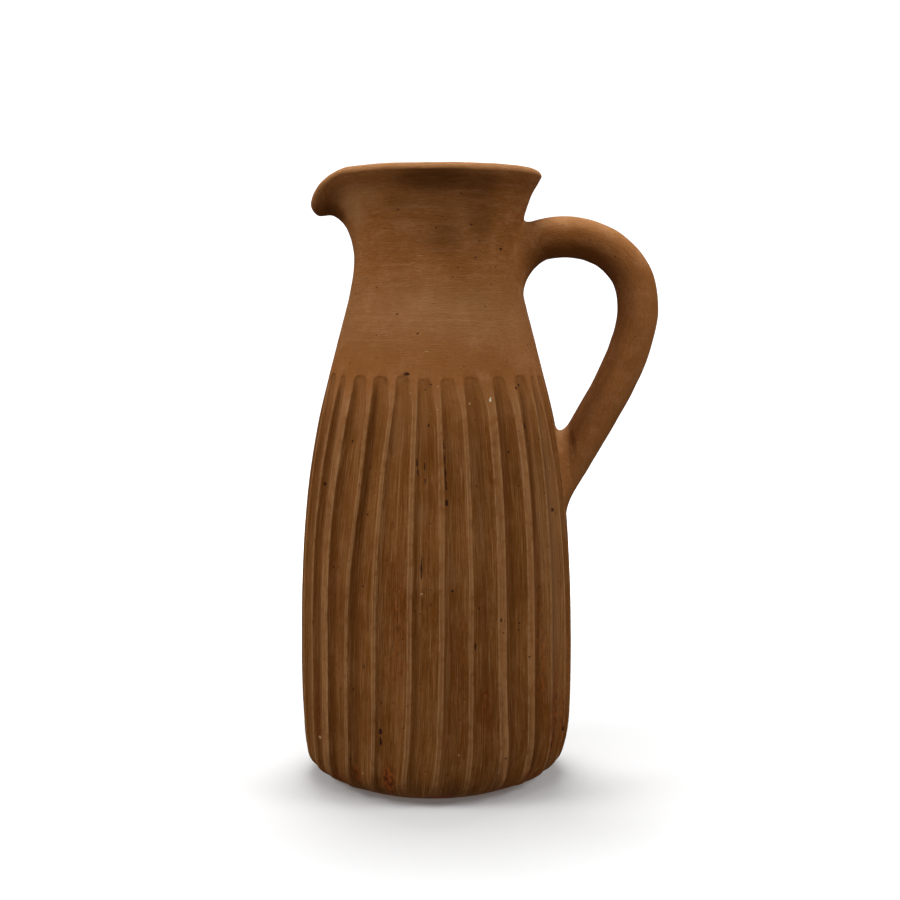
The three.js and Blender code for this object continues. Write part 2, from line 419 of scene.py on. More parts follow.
def build_body():
    z_rows = body_heights()
    angle, number, place = body_columns(z_rows)
    z = np.repeat(z_rows[:, None], angle.shape[1], 1)
    in_channel = place <= 1
    u = np.where(in_channel, place, 0)
    # The end of each channel is rounded, so its columns start at different heights.
    rounded = 1.6 * (1 - np.sqrt(np.clip(1 - (2 * u - 1) ** 2, 0, 1)))
    top = TOPS[number] - np.where(in_channel, rounded, 0)
    depth = FLUTE_DEPTH * DEEP_SHARE[number] * entry(z, top) * way_out(z)
    section = np.where(in_channel, scoop(u, DEEP_AT[number]), 0)
    base = outline_radius(z)
    even = around(angle, base, z)
    grain_angle = (number + np.where(in_channel, 0.88 * place, 0.88 + 0.12 * (place - 1)))
    grain = around(grain_angle * 360 / FLUTES, GRAIN_R, z)

    # The gouge chatters along its cut and the arrises are nibbled and worn.
    along = grain * np.array([1, 1, 0.12])
    chatter = noise(along, 2.2, 21) * 0.1 + noise(grain * [1, 1, 0.4], 5, 22) * 0.12
    edge = np.maximum(
        bump_at(place, 1, 0.05), np.maximum(bump_at(place, 0, 0.03), bump_at(place, 2, 0.3))
    )
    land = (place > 1) * 1.0
    nibble = edge * (0.12 + 0.16 * np.maximum(noise(grain, 2.6, 23), 0))
    cut = depth * section * (1 + 0.25 * chatter) + section * way_out(z) * 0.35 * chatter * (z < 180)
    radius = base - cut - nibble * way_out(z) * smoothstep(188, 176, z) + hand_wobble(even)
    radius = radius + foot_crumbs(angle, z)
    outer = around(angle, radius, z)
    outer[..., 0] += foot_shift(z)

    # Painted shade, darker where a channel is deeper.
    recess_shade = section * np.clip(depth / FLUTE_DEPTH, 0, 1.2)
    foot_band = 0.75 * (1 - smoothstep(0.5, 4.5, z)) * (0.6 + 0.6 * noise(even, 9, 26))
    down = top - z
    # Painted shade at the pressed-in top of each channel and down its walls below.
    walls = 1 - smoothstep(0.1, 0.35, np.minimum(u, 1 - u))
    pressed = in_channel * smoothstep(-0.4, 0.5, down) * (
        (1 - smoothstep(1, 6, down)) * 0.5 + (1 - smoothstep(4, 22, down)) * 0.6 * walls
    )
    pressed = pressed * PRESS_SHADE[number] * (0.8 + 0.6 * noise(grain * [1, 1, 0.3], 2, 25))
    pressed = pressed * (1 - smoothstep(0.55, 0.85, u) * smoothstep(1, 5, down))
    # Painted shade on the steep side of each channel, where the cut is also rougher.
    steep_wall_shade = smoothstep(SHADE_FROM[number] - 0.05, SHADE_FROM[number] + 0.05, u)
    steep_wall_shade = steep_wall_shade * (1 - smoothstep(SHADE_TO[number] - 0.08, SHADE_TO[number] + 0.1, u))
    steep_wall_shade = steep_wall_shade * SHADE_STRENGTH[number] * in_channel * smoothstep(0, 9, down) * way_out(z)
    steep_wall_shade = steep_wall_shade * (0.85 + 0.3 * noise(grain * [1, 1, 0.05], 2.4, 24))
    # Painted highlight along the arrises, fainter over the lands.
    arris_highlight = np.maximum(edge, land * 0.3) * smoothstep(4, 14, z) * smoothstep(0, 14, TOPS[number] - z)
    lower = smoothstep(0, 36, TOPS[number] - z)
    cut_share = np.where(
        in_channel, smoothstep(-0.3, 1.2, down) * (0.35 + 0.65 * lower), 0.8 * lower
    )

    inner_path = np.vstack(
        [
            spline(BODY_INNER, np.linspace(0, len(BODY_INNER) - 1, 44))[::-1],
            [(40, 8.4), (FLOOR_R + 0.4, FLOOR_THICK), (FLOOR_R, FLOOR_THICK - 0.6), (FLOOR_R, 0.4)],
            [(FLOOR_R + 0.4, 0), (39.5, 0), (42, 0)],
        ]
    )
    even_angles = angle[-1]
    inside = around(even_angles[None, :], inner_path[:, :1], inner_path[:, 1:])
    rings = 0.18 * np.sin(inner_path[:, 1:] * 0.9 + np.radians(even_angles)[None, :])
    inside[..., :2] *= (1 + np.where(inner_path[:, 1:] > 14, rings, 0) / inner_path[:, :1])[..., None]
    # The ring that the pot stands on leans with the outside.
    inside[-3:, :, 0] += foot_shift(np.zeros(1))
    grid = np.concatenate([outer, inside])
    zeros = np.zeros(inside.shape[:2])
    layers = {
        "grain": np.concatenate([grain, inside * np.array([0.1, 0.1, 1])]),
        "recess_shade": np.concatenate([recess_shade, zeros]),
        "arris_highlight": np.concatenate([arris_highlight, zeros]),
        "pressed": np.concatenate([pressed, zeros]),
        "steep_wall_shade": np.concatenate([steep_wall_shade, zeros]),
        "cut": np.concatenate([cut_share, zeros]),
        "tooled": np.concatenate([cut_share, zeros + 1]),
        "rust": np.concatenate([np.maximum(stain_layer("rust", angle, z), foot_band), zeros]),
        "scorch_and_shade": np.concatenate([stain_layer("scorch_and_shade", angle, z), zeros]),
        "dust_and_sheen": np.concatenate([stain_layer("dust_and_sheen", angle, z), zeros]),
    }
    return ring_solid("fluted_body_clay", grid, layers)


def foot_shift(z):
    """The foot was pressed a little towards the spout when the soft pot was set down."""
    return -FOOT_LEAN * (1 - smoothstep(0, FOOT_LEAN_TOP_Z, z))


def foot_crumbs(angle, z):
    """Crumbs of clay that the gouge pushed down and left at the ends of the channels."""
    crumb = np.maximum(noise(around(angle, GRAIN_R, z * 0.8), 3.4, 31), 0) ** 1.5
    return 1.9 * crumb * bump_at(z, FLUTE_BOTTOM_Z + 2.5, 6)


# ---- Neck with the pulled spout ----
def spout_shares(angle):
    """Shares of the spout's reach and droop at angles round the axis."""
    off = np.abs((angle - 270 + 180) % 360 - 180)
    reach = (1 + np.cos(np.pi * np.minimum(off / SPOUT_HALF_ANGLE, 1))) / 2
    drooped = np.hypot(off, SPOUT_CREASE) - SPOUT_CREASE
    droop = (1 - np.minimum(drooped / (SPOUT_HALF_ANGLE - SPOUT_CREASE), 1)) ** 2
    return reach, droop


def build_neck():
    # t counts spans of the section: 5 up the outside, 5 over the rim and 5 down the inside.
    columns = 400
    t = np.concatenate(
        [np.linspace(0, 5, 76), np.linspace(5, 10, 44)[1:], np.linspace(10, 15, 46)[1:]]
    )
    closing = 4
    round_path = spline(NECK_ROUND, t)
    spout_path = spline(NECK_SPOUT, t)
    angle = np.arange(columns) * 360 / columns
    reach, droop = spout_shares(angle)
    r = round_path[:, :1] + (spout_path[:, :1] - round_path[:, :1]) * reach
    z = round_path[:, 1:] + (spout_path[:, 1:] - round_path[:, 1:]) * droop
    even = around(angle[None, :], r, z)
    wobble = hand_wobble(around(angle[None, :], outline_radius(np.minimum(z, 262)), z))
    step = np.hypot(np.diff(round_path[:, 0]), np.diff(round_path[:, 1]))
    length = SHOULDER_Z + np.concatenate([[0], np.cumsum(step)])
    grain = around(angle[None, :], GRAIN_R, length[:, None] + 0 * z)
    # Shallow rings left by the thrower's fingers, fading towards the smoothed shoulder.
    rings = noise(np.stack([grain[..., 0] * 0.02, grain[..., 1] * 0.02, grain[..., 2]], -1), 1.7, 41)
    broad = noise(np.stack([grain[..., 0] * 0.03, grain[..., 1] * 0.03, grain[..., 2]], -1), 6.5, 42)
    thrown = smoothstep(SHOULDER_Z + 2, SHOULDER_Z + 22, length[:, None])
    rim = bump_at(t, 7.5, 2.4)[:, None]
    lip = noise(even, 11, 43) * 0.35 + noise(even, 4, 44) * 0.12
    radial = wobble + thrown * (rings * 0.05 + broad * 0.1)
    grid = around(angle[None, :], r + radial, z + rim * lip)
    under = np.linspace(1, 0, closing + 2)[1:-1, None]
    bottom_r = grid[0] * (1 - under[..., None]) + grid[-1] * under[..., None]
    grid = np.concatenate([grid, bottom_r])
    # Painted highlight along the top of the rim.
    lip_highlight = np.concatenate([bump_at(t, 7.6, 1.9), np.zeros(closing)])[:, None] + 0 * angle
    outside = 1 - smoothstep(6.4, 7.4, t)[:, None]
    # Painted shade under the rim, under the spout's curled lip and under the handle's upper end.
    scorch_and_shade = stain_layer("scorch_and_shade", angle[None, :] + 0 * z, z) * outside
    # A broad paler band round the lower neck, and the paler patches listed.
    dust_and_sheen = 0.9 * bump_at(z, 216, 24) * outside * (0.8 + 0.4 * noise(even, 24, 45))
    dust_and_sheen = np.maximum(dust_and_sheen, stain_layer("dust_and_sheen", angle[None, :] + 0 * z, z) * outside)
    layers = {
        "scorch_and_shade": np.concatenate([scorch_and_shade, np.zeros((closing, columns))]),
        "dust_and_sheen": np.concatenate([dust_and_sheen, np.zeros((closing, columns))]),
        "grain": np.concatenate([grain, np.repeat(grain[-1:], closing, 0)]),
        "rim": lip_highlight,
        "tooled": np.concatenate([thrown + 0 * z, np.ones((closing, columns))]),
    }
    return ring_solid("neck_and_spout_clay", grid, layers)


# ---- Floor ----
def build_floor():
    columns = 160
    bevel = 0.7
    radius = FLOOR_R - 0.15
    low = [(r, 0) for r in np.linspace(1.5, radius - bevel, 40)]
    side = [(radius, bevel), (radius, FLOOR_THICK - bevel)]
    high = [(r, FLOOR_THICK) for r in np.linspace(radius - bevel, 1.5, 40)]
    path = np.array(low + side + high)
    angle = np.arange(columns) * 360 / columns
    grid = around(angle[None, :], path[:, :1], path[:, 1:])
    # The underside carries the shallow arcs of the wire that cut the pot off the wheel, and
    # the inside a spiral left by the fingers.
    x, y = grid[..., 0], grid[..., 1]
    arcs = 0.16 * (1 + np.sin(np.hypot(x + 60, y - 30) * 1.7 + noise(grid, 9, 52)))
    spiral = 0.35 * np.sin(np.hypot(x, y) * 0.75 + np.radians(angle)[None, :])
    is_low = (path[:, 1:] < bevel / 2) & (path[:, :1] < radius - 2)
    is_high = (path[:, 1:] > FLOOR_THICK - bevel / 2) & (path[:, :1] < radius - 2)
    grid[..., 2] += np.where(is_low, arcs, 0) + np.where(is_high, spiral, 0)
    layers = {"grain": grid * np.array([0.2, 1, 1])}
    return ring_solid("floor_clay", grid, layers, loop=False)


# ---- Handle ----
def centripetal(points, t):
    """The centripetal Catmull-Rom curve through points, at t counted in spans."""
    points = np.asarray(points, float)
    ends = np.vstack([2 * points[0] - points[1], points, 2 * points[-1] - points[-2]])
    last = len(points) - 1
    i = np.clip(np.floor(t).astype(int), 0, last - 1)
    w = (t - i)[..., None]
    p0, p1, p2, p3 = (ends[i + step] for step in range(4))
    d0, d1, d2 = (
        np.linalg.norm(b - a, axis=-1, keepdims=True) ** 0.5
        for a, b in ((p0, p1), (p1, p2), (p2, p3))
    )
    leave = ((p1 - p0) / d0 - (p2 - p0) / (d0 + d1) + (p2 - p1) / d1) * d1
    arrive = ((p2 - p1) / d1 - (p3 - p1) / (d1 + d2) + (p3 - p2) / d2) * d1
    return (
        (2 * p1 - 2 * p2 + leave + arrive) * w**3
        + (3 * p2 - 3 * p1 - 2 * leave - arrive) * w**2
        + leave * w
        + p1
    )


HANDLE_LINE = centripetal(HANDLE_PATH, np.linspace(0, len(HANDLE_PATH) - 1, 900))
HANDLE_SLOPE = np.gradient(HANDLE_LINE, axis=0)
HANDLE_SLOPE /= np.linalg.norm(HANDLE_SLOPE, axis=1, keepdims=True)
HANDLE_LENGTH = np.concatenate(
    [[0], np.cumsum(np.linalg.norm(np.diff(HANDLE_LINE, axis=0), axis=1))]
)


def handle_point(phi, s):
    """Points on the roll, phi degrees round it from its outer side, s along its line."""
    x = np.interp(s, HANDLE_LENGTH, HANDLE_LINE[:, 0])
    z = np.interp(s, HANDLE_LENGTH, HANDLE_LINE[:, 1])
    tx = np.interp(s, HANDLE_LENGTH, HANDLE_SLOPE[:, 0])
    tz = np.interp(s, HANDLE_LENGTH, HANDLE_SLOPE[:, 1])
    a = np.radians(phi)
    share = s / HANDLE_LENGTH[-1]
    skin = np.stack([10 * np.cos(a) + 0 * s, 10 * np.sin(a) + 0 * s, s + 0 * phi], -1)
    rough = 0.22 * noise(skin, 13, 61) + 0.1 * noise(skin, 5, 62)
    thick = HANDLE_THICK / 2 + rough
    wide = HANDLE_WIDTH / 2 + rough - 0.5 * bump_at(share, 0.5, 0.5)
    out = thick * np.cos(a)
    return np.stack([x - tz * out, wide * np.sin(a) + 0 * x, z + tx * out], -1)


def handle_centre(s):
    """Points on the handle's line, s along it."""
    x = np.interp(s, HANDLE_LENGTH, HANDLE_LINE[:, 0])
    z = np.interp(s, HANDLE_LENGTH, HANDLE_LINE[:, 1])
    return np.stack([x, np.zeros_like(x), z], -1)


def off_vessel(points):
    """How far points lie outside the vessel's unfluted outside."""
    z = points[..., 2]
    return np.hypot(points[..., 0], points[..., 1]) - outline_radius(np.minimum(z, 264))


HANDLE_COLUMNS = 72
HANDLE_PHI = np.arange(HANDLE_COLUMNS) * 360 / HANDLE_COLUMNS


def crossings(depth):
    """Where each line along the roll leaves the vessel at its upper end and comes back to it
    at its lower end, depth inside its surface: two arrays of distances along the handle."""
    s = np.linspace(0, HANDLE_LENGTH[-1], 1200)
    phi, along = np.meshgrid(HANDLE_PHI, s, indexing="ij")
    outside = off_vessel(handle_point(phi, along)) > -depth
    middle = len(s) // 2
    start = np.array([s[np.where(~row[:middle])[0].max(initial=0)] for row in outside])
    end = np.array(
        [s[middle + np.where(~row[middle:])[0].min(initial=len(s) - middle - 1)] for row in outside]
    )
    return start, end


def joint_shade(points):
    """Painted shade in the crease left between the handle's lower end and the clay pressed round
    it, and under its upper end."""
    x, y, z = np.moveaxis(points, -1, 0)
    crease = np.hypot((x - 62.3 - (159 - z) * 0.12) / 1.5, (z - 157) / 8)
    under = np.hypot((x - 50) / 11, (z - 239) / 12)
    return np.maximum(
        0.95 * (1 - smoothstep(0.3, 1.3, crease)) * (y < 0), 0.5 * (1 - smoothstep(0.3, 1.2, under))
    )


def build_handle():
    rows = 210
    start, end = crossings(2.5)
    share = np.linspace(0, 1, rows)[:, None]
    s = start[None, :] + (end - start)[None, :] * share
    phi = HANDLE_PHI[None, :] + 0 * s
    grid = handle_point(phi, s)
    a = np.radians(phi)
    grain = np.stack([10 * np.cos(a), 10 * np.sin(a), s], -1)
    # The side of the roll that faces the vessel is painted darker: painted shade.
    inner_side_shade = 0.6 * smoothstep(0, 0.95, -np.cos(a)) * smoothstep(0, 0.2, share)
    shade = np.maximum(inner_side_shade, joint_shade(grid))
    layers = {"grain": grain[:, ::-1], "scorch_and_shade": shade[:, ::-1], "tooled": 1 + 0 * s}
    return ring_solid("handle_clay", grid[:, ::-1], layers, loop=False)


# ---- Joint clay ----
def bezier(p0, p1, p2, p3, t):
    t = t[:, None, None]
    return (
        (1 - t) ** 3 * p0 + 3 * (1 - t) ** 2 * t * p1 + 3 * (1 - t) * t**2 * p2 + t**3 * p3
    )


def on_vessel(angle, z, lift):
    """Points on the outside of the vessel, lifted off it."""
    if z.max() < SHOULDER_Z:
        radius = vessel_radius(angle, z)
    else:
        radius = outline_radius(z) + hand_wobble(around(angle, outline_radius(z), z))
    return around(angle, radius + lift, z)


def build_joint(corner_s, seat_angle, seat_z, reach, fullness, layer_seed):
    """A fillet pressed round one end of the handle, from its seat on the vessel to the roll.

    corner_s is where each line along the roll meets the vessel, and reach how far the clay
    goes up the roll from there."""
    rows = 26
    seat = on_vessel(seat_angle, seat_z, 0.05)
    seat_sunk = on_vessel(seat_angle, seat_z, -1.6)
    roll_s = corner_s + reach
    corner = handle_point(HANDLE_PHI, corner_s)
    roll = handle_point(HANDLE_PHI, roll_s)
    centre = handle_centre(roll_s)
    roll_sunk = roll + (centre - roll) * 0.15
    roll = roll - (centre - roll) * 0.006
    inner = corner + (handle_centre(corner_s) - corner) * 0.3
    full = fullness[:, None]
    bend_seat = seat + (corner - seat) * full
    bend_roll = roll + (corner - roll) * full
    skin = bezier(seat, bend_seat, bend_roll, roll, np.linspace(0, 1, rows))
    lumps = 0.18 * noise(skin, 7, layer_seed) + 0.07 * noise(skin, 2.6, layer_seed + 1)
    fade = np.sin(np.linspace(0, np.pi, rows))[:, None]
    middle = skin.mean(1, keepdims=True)
    outward = skin - middle
    outward /= np.linalg.norm(outward, axis=-1, keepdims=True)
    skin = skin + outward * (lumps * fade)[..., None]
    grid = np.concatenate([seat_sunk[None], skin, roll_sunk[None], inner[None]])
    smear = np.concatenate([[1], np.abs(np.linspace(-1, 1, rows)) ** 3, [1, 0]])[:, None]
    layers = {
        "grain": grid,
        "smear": smear + 0 * HANDLE_PHI[None, :],
        "tooled": 1 + 0 * grid[..., 0],
        "scorch_and_shade": joint_shade(grid),
    }
    return grid, layers


# Where the joint clay sits on the vessel: the middle's height, the half sizes of its seat
# and the vessel's radius there.
UPPER_SEAT_Z = 240.5
UPPER_SEAT_HALF_HEIGHT = 18
UPPER_SEAT_HALF_WIDTH = 15.5
UPPER_SEAT_R = 38.5
LOWER_SEAT_HALF_WIDTH = 16
LOWER_SEAT_R = 60


def build_upper_joint():
    corner_s, _ = crossings(0)
    a = np.radians(HANDLE_PHI)
    seat_z = UPPER_SEAT_Z + UPPER_SEAT_HALF_HEIGHT * np.cos(a)
    seat_angle = 90 - np.degrees(UPPER_SEAT_HALF_WIDTH * np.sin(a) / UPPER_SEAT_R)
    reach = 9 + 4.5 * np.cos(a + np.pi) ** 2 * (np.cos(a) < 0) + 2 * np.abs(np.sin(a))
    fullness = 0.62 + 0.1 * np.cos(a)
    grid, layers = build_joint(corner_s, 180 - seat_angle, seat_z, reach, fullness, 71)
    return ring_solid("upper_joint_smear", grid, layers, sharp=80)


def build_lower_joint():
    _, corner_s = crossings(0)
    a = np.radians(HANDLE_PHI)
    corner = handle_point(HANDLE_PHI, corner_s)
    seat_z = corner[:, 2] - 6.5 * np.cos(a) + 1.5
    seat_angle = 90 + np.degrees(LOWER_SEAT_HALF_WIDTH * np.sin(a) / LOWER_SEAT_R)
    reach = -(6.5 + 3.5 * (np.cos(a) < 0) * np.cos(a) ** 2)
    fullness = 0.5 + 0 * a
    grid, layers = build_joint(corner_s, seat_angle, seat_z, reach, fullness, 81)
    layers = {n: v[:, ::-1] for n, v in layers.items()}
    return ring_solid("lower_joint_smear", grid[:, ::-1], layers, sharp=80)


# ---- Materials ----
class Nodes:
    """Short calls for the nodes of one material."""

    def __init__(self, material):
        self.tree = material.node_tree
        self.tree.nodes.clear()

    def add(self, kind, inputs=None, **settings):
        node = self.tree.nodes.new(kind)
        for name, value in settings.items():
            setattr(node, name, value)
        for key, value in (inputs or {}).items():
            self.set(node.inputs[key], value)
        return node

    def set(self, socket, value):
        if isinstance(value, bpy.types.NodeSocket):
            self.tree.links.new(value, socket)
        else:
            socket.default_value = value

    def attribute(self, name, output="Fac"):
        return self.add("ShaderNodeAttribute", attribute_name=name).outputs[output]

    def scaled(self, vector, scale):
        return self.add(
            "ShaderNodeVectorMath", {0: vector, 1: scale}, operation="MULTIPLY"
        ).outputs[0]

    def noise(self, vector, scale, detail=2.0, roughness=0.5, distortion=0.0):
        return self.add(
            "ShaderNodeTexNoise",
            {
                "Vector": vector, "Scale": scale, "Detail": detail,
                "Roughness": roughness, "Distortion": distortion,
            },
        ).outputs["Fac"]

    def math(self, operation, a, b=0.0):
        return self.add("ShaderNodeMath", {0: a, 1: b}, operation=operation).outputs[0]

    def ramp(self, value, low, high, to_low=0.0, to_high=1.0):
        return self.add(
            "ShaderNodeMapRange",
            {0: value, 1: low, 2: high, 3: to_low, 4: to_high},
            interpolation_type="SMOOTHSTEP",
        ).outputs[0]

    def mix(self, share, a, b, blend="MIX"):
        node = self.add("ShaderNodeMix", data_type="RGBA", blend_type=blend)
        self.set(node.inputs[0], share)
        self.set(node.inputs[6], a)
        self.set(node.inputs[7], b)
        return node.outputs[2]

    def tint(self, colour, tone, mask, strength):
        """The colour turned towards a tone where the mask is, at a strength."""
        return self.mix(self.math("MULTIPLY", mask, strength), colour, tone)

    def spots(self, position, marks):
        """1 inside any of the marks, each a place and its half sizes in metres."""
        total = 0.0
        for centre, half in marks:
            off = self.add(
                "ShaderNodeVectorMath", {0: position, 1: tuple(centre)}, operation="SUBTRACT"
            ).outputs[0]
            off = self.scaled(off, tuple(1 / h for h in half))
            length = self.add("ShaderNodeVectorMath", {0: off}, operation="LENGTH").outputs["Value"]
            mask = self.ramp(length, 1.15, 0.65)
            total = self.math("MAXIMUM", mask, total)
        return total


# Noise scales per metre, from broad clouding to grains of sand.
CLOUD_SCALE = 22
PATCH_SCALE = 95
WEAR_SCALE = 260
PIT_SCALE = 420.0
SPECKLE_SCALE = 700
RAGGED_SCALE = 900
SAND_SCALE = 1500
# Streak scales per millimetre across the tool's path.
WIDE_STREAK = 0.42
FINE_STREAK = 1.7
HAIR_STREAK = 4.2
RAGGED_BY = 0.0008
RELIEF_DEPTH = 0.0004

CUT_CLAY = ((0.37, 0.156, 0.05, 1), (0.285, 0.105, 0.022, 1), (0.185, 0.058, 0.007, 1))
SMOOTH_CLAY = ((0.44, 0.187, 0.073, 1), (0.365, 0.141, 0.042, 1), (0.28, 0.096, 0.019, 1))
RUST_PALE = (0.36, 0.085, 0.014, 1)
RUST_DARK = (0.09, 0.014, 0.003, 1)
# The tone of the dark drag lines and of painted shade.
DEEP_CLAY_AND_SHADE = (0.1, 0.029, 0.003, 1)
# The tone of dust, pale lines and smeared clay, and of painted highlights.
DUST_AND_HIGHLIGHT = (0.47, 0.245, 0.105, 1)
CRUMB = (0.62, 0.38, 0.2, 1)
LIME = (0.85, 0.75, 0.55, 1)
SCORCH = (0.022, 0.005, 0.006, 1)


def place(angle, z):
    """A place on the outside of the vessel, in metres."""
    radius = vessel_radius(np.array([angle]), np.array([z]))[0]
    return Vector(around(angle, radius, z).tolist()) * MM


def marks(rows):
    """Marks as places and half sizes from angle, height, half width and half height."""
    return [
        (place(angle, z), (half_width * MM, half_width * MM, half_height * MM))
        for angle, z, half_width, half_height in rows
    ]


DARK_MARKS = [
    (-15.3, 188.6, 1.5, 0.75), (-60.2, 139, 0.9, 0.8), (-3.6, 167, 0.45, 0.8),
    (-8.6, 151, 0.4, 2.6), (-8.2, 146.5, 0.35, 2), (-5.1, 149, 0.35, 3.2), (-4.9, 143, 0.3, 2),
    (-6.2, 106, 0.4, 9), (-23.4, 34, 0.9, 1.5), (-23.4, 29.5, 0.6, 2), (-30.9, 62, 0.4, 0.9),
    (-31.9, 97, 0.5, 0.45), (-43, 159, 0.7, 0.5), (-31, 128, 0.5, 0.5), (-36.6, 51, 0.45, 0.5),
    (-18.8, 125, 0.35, 0.4), (-43, 50, 0.5, 0.4), (3.6, 152, 0.4, 8), (4, 141, 0.42, 6),
    (4.1, 134, 0.8, 1.6), (47.2, 165.5, 0.6, 1.7), (34.7, 154.7, 0.6, 0.45), (17.3, 141, 0.45, 0.4),
    (62.8, 127, 1.1, 0.9), (6.4, 96.5, 0.5, 0.45), (17.1, 88.6, 0.4, 0.7), (26.4, 83, 0.45, 0.9),
    (27.4, 77.4, 0.4, 0.35), (36.1, 80.3, 0.55, 0.35), (15.3, 72.3, 0.5, 1.7), (40.2, 65, 0.5, 0.35),
    (29.2, 21.4, 0.7, 0.45), (46.8, 20.6, 0.6, 0.8), (59.5, 20.5, 1.4, 3), (68.4, 25.8, 1.4, 1.2),
    (-16.2, 9.8, 0.7, 0.4), (43.8, 182, 0.8, 0.6), (46.6, 183.2, 0.7, 0.6), (-2.8, 184.2, 0.6, 0.25),
    (-5.4, 182, 0.45, 0.4), (3.3, 158, 0.35, 5), (3.8, 146, 0.4, 6),
]
PALE_MARKS = [
    (0.8, 183.4, 0.45, 0.35), (0.8, 173.6, 0.35, 0.3), (16, 176, 0.5, 0.5),
    (13.9, 158, 0.35, 0.4), (-6.1, 95.3, 0.5, 0.55), (-61, 24, 1.1, 0.8), (9, 25, 0.4, 0.5),
    (-33.4, 13.6, 0.9, 0.7), (-12.8, 180.6, 0.35, 0.35), (44.6, 30, 0.35, 0.35), (26.3, 15, 0.3, 0.3),
]
WHITE_MARKS = [(26.6, 177.3, 0.65, 0.8), (26.9, 178.3, 0.35, 0.5)]
NECK_DARK_MARKS = [
    (-24, 259.5, 0.5, 0.35), (14.5, 266, 0.5, 0.35), (23, 253, 0.6, 0.4), (49, 243, 1.1, 0.5),
    (-10.5, 206, 0.7, 0.3), (-24, 214.5, 0.5, 0.4), (27, 239, 0.6, 0.3),
]
NECK_PALE_MARKS = [(-5, 198.3, 1.3, 0.16), (-11, 239.6, 1.5, 0.14), (-16, 236.5, 0.9, 0.14)]


